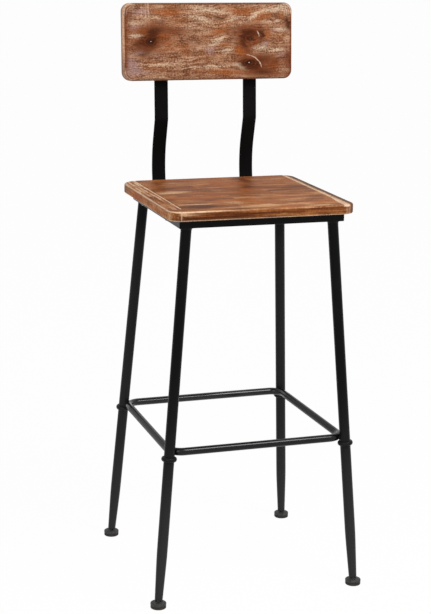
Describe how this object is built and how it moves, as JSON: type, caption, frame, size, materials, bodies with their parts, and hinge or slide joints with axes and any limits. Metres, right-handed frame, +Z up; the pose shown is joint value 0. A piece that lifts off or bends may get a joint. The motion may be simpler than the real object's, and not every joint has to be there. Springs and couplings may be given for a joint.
{
  "type": "bar stool",
  "caption": "Tall stool with a wooden plank seat and a low wooden backrest on a splayed tubular steel frame with a ring footrest and swivel levelling feet.",
  "frame": {"origin": "on the floor, midway between the four feet", "axes": "+Z up, -Y to the front (the way the sitter faces), +X to the right as seen from in front"},
  "size_m": [0.425, 0.4044, 1.0945],
  "materials": {
    "seat_wood": "worn oiled wood, warm orange brown",
    "back_wood": "distressed brown wood with a pale wash",
    "black_steel": "black satin powder coat",
    "zinc_steel": "zinc plated",
    "black_plastic": "matt black",
    "black_rubber": "matt black"
  },
  "bodies": {
    "frame": {"back_bar_bolts": "zinc_steel", "back_bar_left": "black_steel", "back_bar_nuts": "zinc_steel", "back_bar_right": "black_steel", "backrest_board": "back_wood", "backrest_bolts": "zinc_steel", "backrest_inserts": "zinc_steel", "collar_front_left": "black_steel", "collar_front_right": "black_steel", "collar_rear_left": "black_steel", "collar_rear_right": "black_steel", "footrest_ring": "black_steel", "front_rail": "black_steel", "left_rail": "black_steel", "leg_bush_front_left": "zinc_steel", "leg_bush_front_right": "zinc_steel", "leg_bush_rear_left": "zinc_steel", "leg_bush_rear_right": "zinc_steel", "leg_front_left": "black_steel", "leg_front_right": "black_steel", "leg_rear_left": "black_steel", "leg_rear_right": "black_steel", "rear_rail": "black_steel", "right_rail": "black_steel", "seat_front_strip": "seat_wood", "seat_left_strip": "seat_wood", "seat_plank_1": "seat_wood", "seat_plank_2": "seat_wood", "seat_plank_3": "seat_wood", "seat_plank_4": "seat_wood", "seat_right_strip": "seat_wood", "seat_screws": "zinc_steel"},
    "stem_front_left": {"foot_stem_front_left": "zinc_steel"},
    "pad_front_left": {"foot_cap_front_left": "black_plastic", "foot_sole_front_left": "black_rubber"},
    "stem_front_right": {"foot_stem_front_right": "zinc_steel"},
    "pad_front_right": {"foot_cap_front_right": "black_plastic", "foot_sole_front_right": "black_rubber"},
    "stem_rear_left": {"foot_stem_rear_left": "zinc_steel"},
    "pad_rear_left": {"foot_cap_rear_left": "black_plastic", "foot_sole_rear_left": "black_rubber"},
    "stem_rear_right": {"foot_stem_rear_right": "zinc_steel"},
    "pad_rear_right": {"foot_cap_rear_right": "black_plastic", "foot_sole_rear_right": "black_rubber"}
  },
  "joints": [
    {"name": "foot_front_left_level", "type": "slide", "parent": "frame", "child": "stem_front_left", "axis": [-0.0779, -0.0435, -0.996], "range_m": [0, 0.01]},
    {"name": "foot_front_left_tilt", "type": "hinge", "parent": "stem_front_left", "child": "pad_front_left", "pos_m": [-0.1975, -0.18725, 0.007], "axis": [0.4876, -0.873, 0], "range_deg": [-6, 6]},
    {"name": "foot_front_right_level", "type": "slide", "parent": "frame", "child": "stem_front_right", "axis": [0.0779, -0.0435, -0.996], "range_m": [0, 0.01]},
    {"name": "foot_front_right_tilt", "type": "hinge", "parent": "stem_front_right", "child": "pad_front_right", "pos_m": [0.1975, -0.18725, 0.007], "axis": [0.4876, 0.873, 0], "range_deg": [-6, 6]},
    {"name": "foot_rear_left_level", "type": "slide", "parent": "frame", "child": "stem_rear_left", "axis": [-0.0661, 0.0889, -0.9938], "range_m": [0, 0.01]},
    {"name": "foot_rear_left_tilt", "type": "hinge", "parent": "stem_rear_left", "child": "pad_rear_left", "pos_m": [-0.18925, 0.18725, 0.007], "axis": [-0.8023, -0.597, 0], "range_deg": [-6, 6]},
    {"name": "foot_rear_right_level", "type": "slide", "parent": "frame", "child": "stem_rear_right", "axis": [0.0661, 0.0889, -0.9938], "range_m": [0, 0.01]},
    {"name": "foot_rear_right_tilt", "type": "hinge", "parent": "stem_rear_right", "child": "pad_rear_right", "pos_m": [0.18925, 0.18725, 0.007], "axis": [-0.8023, 0.597, 0], "range_deg": [-6, 6]}
  ]
}
